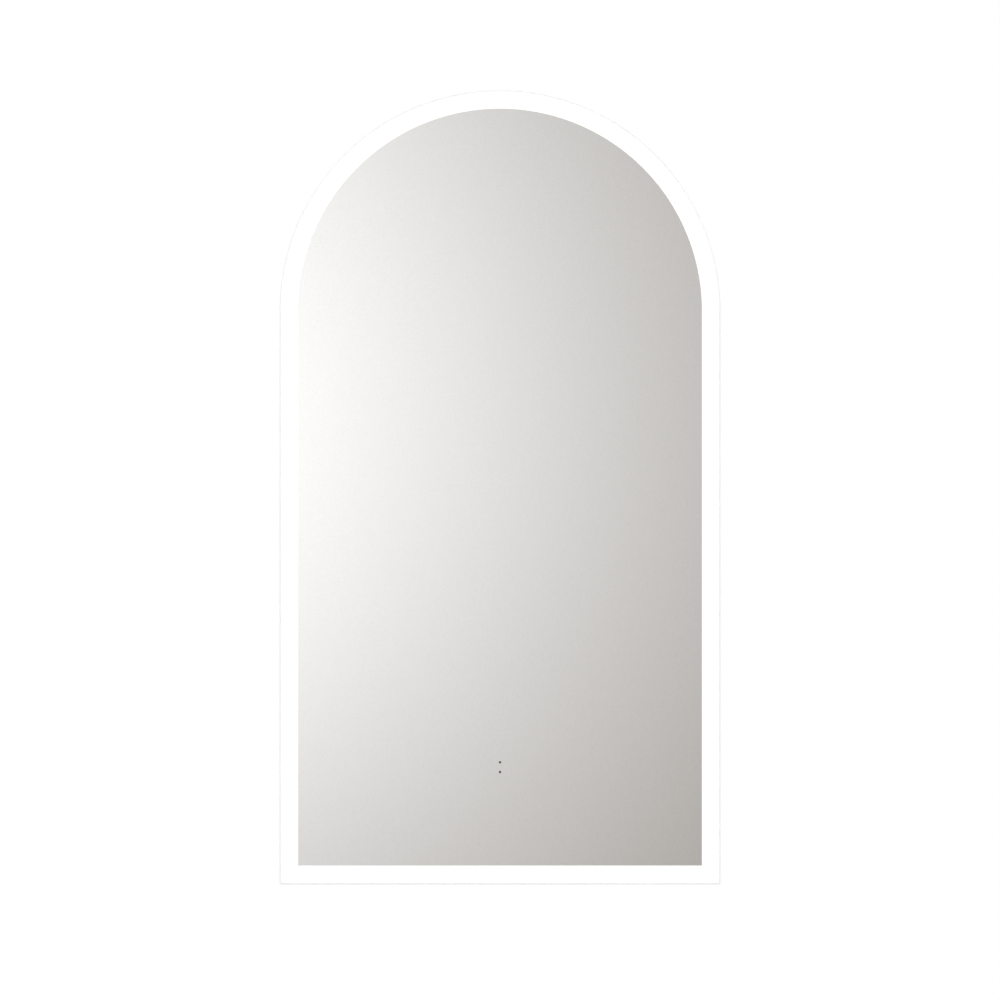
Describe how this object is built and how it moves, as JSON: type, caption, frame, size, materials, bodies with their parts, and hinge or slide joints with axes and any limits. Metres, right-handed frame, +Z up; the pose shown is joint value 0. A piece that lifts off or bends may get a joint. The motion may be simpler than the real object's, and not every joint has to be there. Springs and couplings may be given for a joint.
{
  "type": "lighted bathroom mirror",
  "caption": "Arched wall mirror with a lit frosted band, aluminium frame, wave sensor, demister and driver, hung by a hook on a wall rail.",
  "frame": {"origin": "on the wall plane, midway between the two screw slots of the wall rail", "axes": "+X to the viewer's right, +Y back into the wall, +Z up along the mirror's height"},
  "size_m": [0.5, 0.032, 0.9],
  "materials": {
    "aluminium": "satin anodised",
    "key_zinc": "zinc plated",
    "galvanised_steel": "galvanised sheet",
    "tray_steel": "white powder coat",
    "screw_steel": "zinc plated",
    "clear_glass": "polished, with a frosted band on its back",
    "silver": "silvered, with grey protective paint behind",
    "film": "woven safety film",
    "foam_tape": "white foam tape",
    "silicone": "clear silicone",
    "bumper_rubber": "soft black rubber",
    "strip_board": "white flexible circuit",
    "led_lamp": "lamp with a yellow phosphor face",
    "box_plastic": "white moulded",
    "terminal_plastic": "natural nylon",
    "brass": "plated",
    "gland_plastic": "black nylon",
    "circuit_board": "green solder mask",
    "ferrite": "sintered",
    "winding": "yellow tape",
    "capacitor": "sleeved can",
    "sensor_plastic": "black moulded",
    "dark_lens": "dark infrared lens",
    "demister_film": "laminated heater film",
    "boot_plastic": "black moulded",
    "lead_white": "white sheath",
    "lead_earth": "green and yellow sheath",
    "tinned_copper": "tinned",
    "clip_plastic": "natural nylon"
  },
  "bodies": {
    "wall_mount": {"wall_rail": "galvanised_steel"},
    "mirror": {"frame_arch": "aluminium", "frame_foot": "aluminium", "corner_key_right": "key_zinc", "corner_key_left": "key_zinc", "hanger_bar": "galvanised_steel", "tray": "tray_steel", "hanger_screws": "screw_steel", "corner_screws": "screw_steel", "tray_screws": "screw_steel", "device_screws": "screw_steel", "junction_cover_screws": "screw_steel", "driver_cover_screws": "screw_steel", "earth_screw": "screw_steel", "mirror_glass": "clear_glass", "silvering": "silver", "safety_film": "film", "bond_tape": "foam_tape", "sensor_tape": "foam_tape", "edge_seal": "silicone", "feed_grommet": "silicone", "wall_bumpers": "bumper_rubber", "light_strip_arch": "strip_board", "light_strip_foot": "strip_board", "leds": "led_lamp", "junction_box": "box_plastic", "junction_cover": "box_plastic", "driver_case": "box_plastic", "driver_cover": "box_plastic", "terminal_block": "terminal_plastic", "terminal_screws": "brass", "gland_body": "gland_plastic", "gland_locking_nut": "gland_plastic", "gland_dome_nut": "gland_plastic", "driver_board": "circuit_board", "sensor_board": "circuit_board", "driver_transformer_core": "ferrite", "driver_transformer_coil": "winding", "driver_capacitors": "capacitor", "sensor_case": "sensor_plastic", "sensor_cover": "sensor_plastic", "sensor_lenses": "dark_lens", "demister_pad": "demister_film", "demister_boot": "boot_plastic", "mains_lead": "lead_white", "supply_lead": "lead_white", "light_lead": "lead_white", "demister_lead": "lead_white", "strip_tails": "lead_white", "earth_lead": "lead_earth", "earth_tag": "tinned_copper", "lead_clips": "clip_plastic"}
  },
  "joints": [
    {"name": "lift_off", "type": "slide", "parent": "wall_mount", "child": "mirror", "axis": [0, 0, 1], "range_m": [0, 0.014]}
  ]
}
